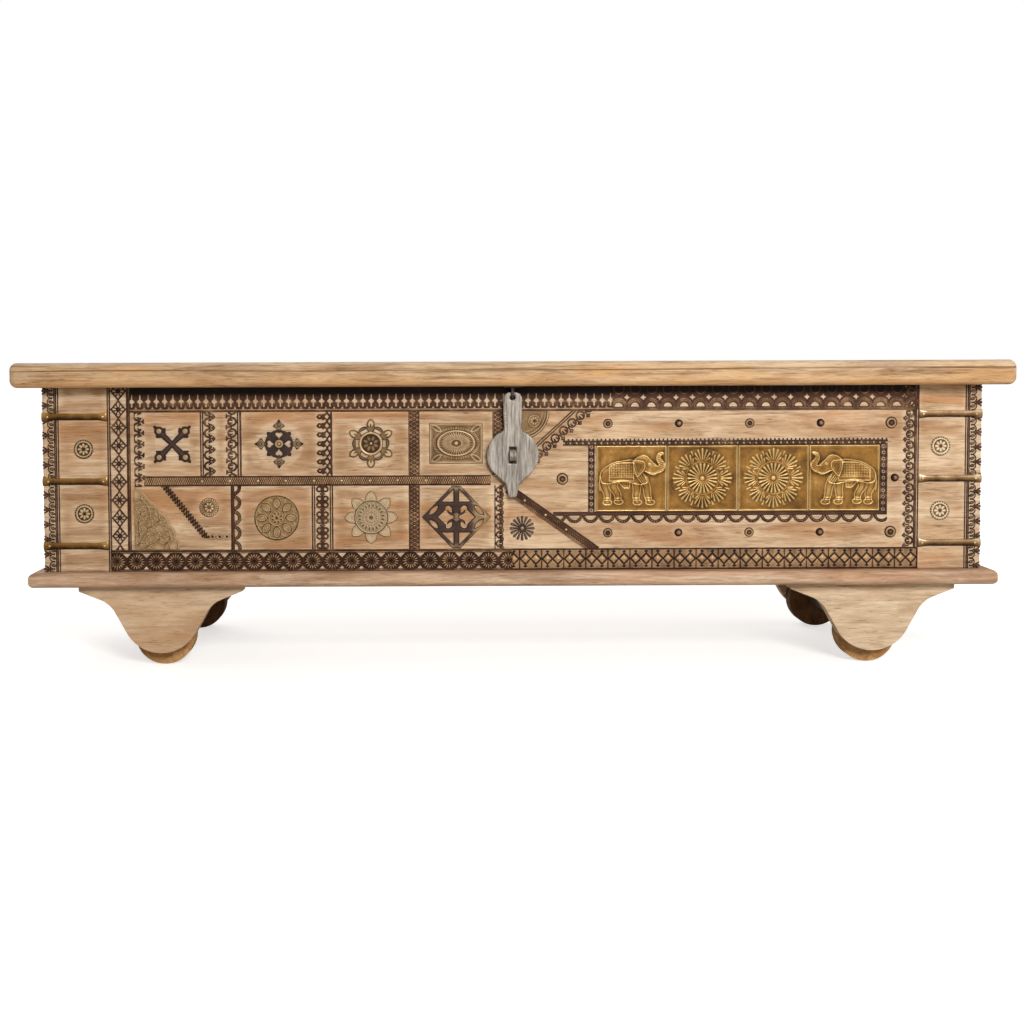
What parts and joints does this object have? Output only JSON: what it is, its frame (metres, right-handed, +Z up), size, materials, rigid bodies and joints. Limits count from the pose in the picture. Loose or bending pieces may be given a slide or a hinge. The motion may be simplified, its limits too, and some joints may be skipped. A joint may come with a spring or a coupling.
{
  "type": "wooden trunk",
  "caption": "Long low wooden trunk on disc wheels, with a hinged plank lid, a hasp over a staple, and stamped brass strips, flowers and plates nailed over its front.",
  "frame": {"origin": "floor level under the middle of the trunk", "axes": "+X to the right along the length, +Y to the back, +Z up; the hasp faces -Y"},
  "size_m": [1.5, 0.4, 0.4668],
  "materials": {
    "limed_wood": "limed and rubbed mango wood, matt",
    "inner_wood": "plain sawn wood inside",
    "wheel_wood": "turned wood, matt",
    "dark_stamped_brass": "stamped sheet brass, dark brown patina",
    "oxidised_brass": "oxidised cast brass, nearly black brown",
    "gold_brass": "embossed sheet brass, antique gold",
    "khaki_brass": "embossed sheet brass, dull and limed over",
    "galvanised_steel": "galvanised forged steel",
    "hinge_steel": "dark plain steel"
  },
  "bodies": {
    "carcass": {"front_board": "limed_wood", "back_board": "limed_wood", "left_board": "limed_wood", "right_board": "limed_wood", "front_rail": "limed_wood", "left_rail": "limed_wood", "right_rail": "limed_wood", "back_rail": "limed_wood", "front_left_bracket": "limed_wood", "front_right_bracket": "limed_wood", "back_left_bracket": "limed_wood", "back_right_bracket": "limed_wood", "bottom_board": "inner_wood", "corner_posts": "inner_wood", "left_border": "dark_stamped_brass", "right_border": "dark_stamped_brass", "top_border": "dark_stamped_brass", "bottom_border": "dark_stamped_brass", "middle_strip": "dark_stamped_brass", "upper_row_strips": "dark_stamped_brass", "lower_row_strips": "dark_stamped_brass", "diagonal_strips": "dark_stamped_brass", "plate_frame": "dark_stamped_brass", "corner_edgings": "dark_stamped_brass", "panel_studs": "dark_stamped_brass", "x_cross": "oxidised_brass", "cross_flower": "oxidised_brass", "lattice_diamond": "oxidised_brass", "left_elephant_plate": "gold_brass", "left_mandala_plate": "gold_brass", "right_mandala_plate": "gold_brass", "right_elephant_plate": "gold_brass", "corner_straps": "gold_brass", "corner_medallions": "khaki_brass", "lobed_flower": "khaki_brass", "oval_plate": "khaki_brass", "leaf_plate": "khaki_brass", "small_rosettes": "khaki_brass", "quarter_plate": "khaki_brass", "round_medallion": "khaki_brass", "sunflower": "khaki_brass", "staple": "galvanised_steel", "carcass_hinge_leaves": "hinge_steel", "hinge_pins": "hinge_steel", "left_axle": "hinge_steel", "right_axle": "hinge_steel", "axle_washers": "hinge_steel"},
    "lid": {"front_lid_plank": "limed_wood", "middle_lid_plank": "limed_wood", "back_lid_plank": "limed_wood", "lid_battens": "inner_wood", "lid_hinge_leaves": "hinge_steel", "hasp_eye": "galvanised_steel"},
    "hasp": {"hasp": "galvanised_steel"},
    "front_left_wheel": {"front_left_wheel": "wheel_wood"},
    "front_right_wheel": {"front_right_wheel": "wheel_wood"},
    "back_left_wheel": {"back_left_wheel": "wheel_wood"},
    "back_right_wheel": {"back_right_wheel": "wheel_wood"}
  },
  "joints": [
    {"name": "lid_open", "type": "hinge", "parent": "carcass", "child": "lid", "pos_m": [0, 0.19565, 0.4296], "axis": [-1, 0, 0], "range_deg": [0, 95]},
    {"name": "hasp_swing", "type": "hinge", "parent": "lid", "child": "hasp", "pos_m": [0, -0.1706, 0.4176], "axis": [-1, 0, 0], "range_deg": [0, 90]},
    {"name": "front_left_wheel_spin", "type": "hinge", "parent": "carcass", "child": "front_left_wheel", "pos_m": [-0.5369, -0.1187, 0.0458], "axis": [0, 1, 0], "continuous": true},
    {"name": "front_right_wheel_spin", "type": "hinge", "parent": "carcass", "child": "front_right_wheel", "pos_m": [0.5501, -0.1187, 0.0458], "axis": [0, 1, 0], "continuous": true},
    {"name": "back_left_wheel_spin", "type": "hinge", "parent": "carcass", "child": "back_left_wheel", "pos_m": [-0.5369, 0.1482, 0.0458], "axis": [0, 1, 0], "continuous": true},
    {"name": "back_right_wheel_spin", "type": "hinge", "parent": "carcass", "child": "back_right_wheel", "pos_m": [0.5501, 0.1482, 0.0458], "axis": [0, 1, 0], "continuous": true}
  ]
}
